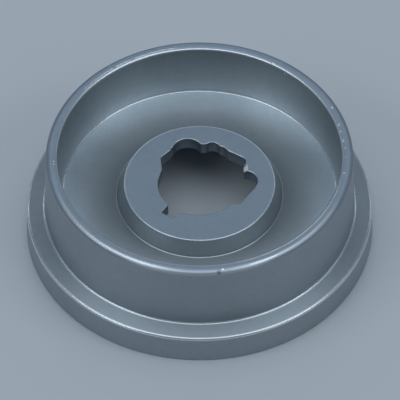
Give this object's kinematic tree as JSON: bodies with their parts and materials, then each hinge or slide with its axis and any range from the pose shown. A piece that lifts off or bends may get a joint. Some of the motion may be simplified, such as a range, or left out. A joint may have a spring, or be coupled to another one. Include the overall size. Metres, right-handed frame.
{
  "type": "stove knob bezel",
  "caption": "Round dished metal bezel of a stove knob: a wall on a wider stepped foot, and a raised hub with a keyed opening for the valve stem.",
  "frame": {"origin": "middle of the foot's flat underside, which lies on the appliance's panel", "axes": "+Z out of the panel, along the axis of the dish and the valve stem; +X to the right and +Y to the back, with the key slot at the front left"},
  "size_m": [0.0709, 0.071, 0.0224],
  "materials": {
    "satin_cast_metal": "satin, finely blasted die casting"
  },
  "bodies": {
    "root": {"knob_bezel": "satin_cast_metal"}
  },
  "joints": []
}
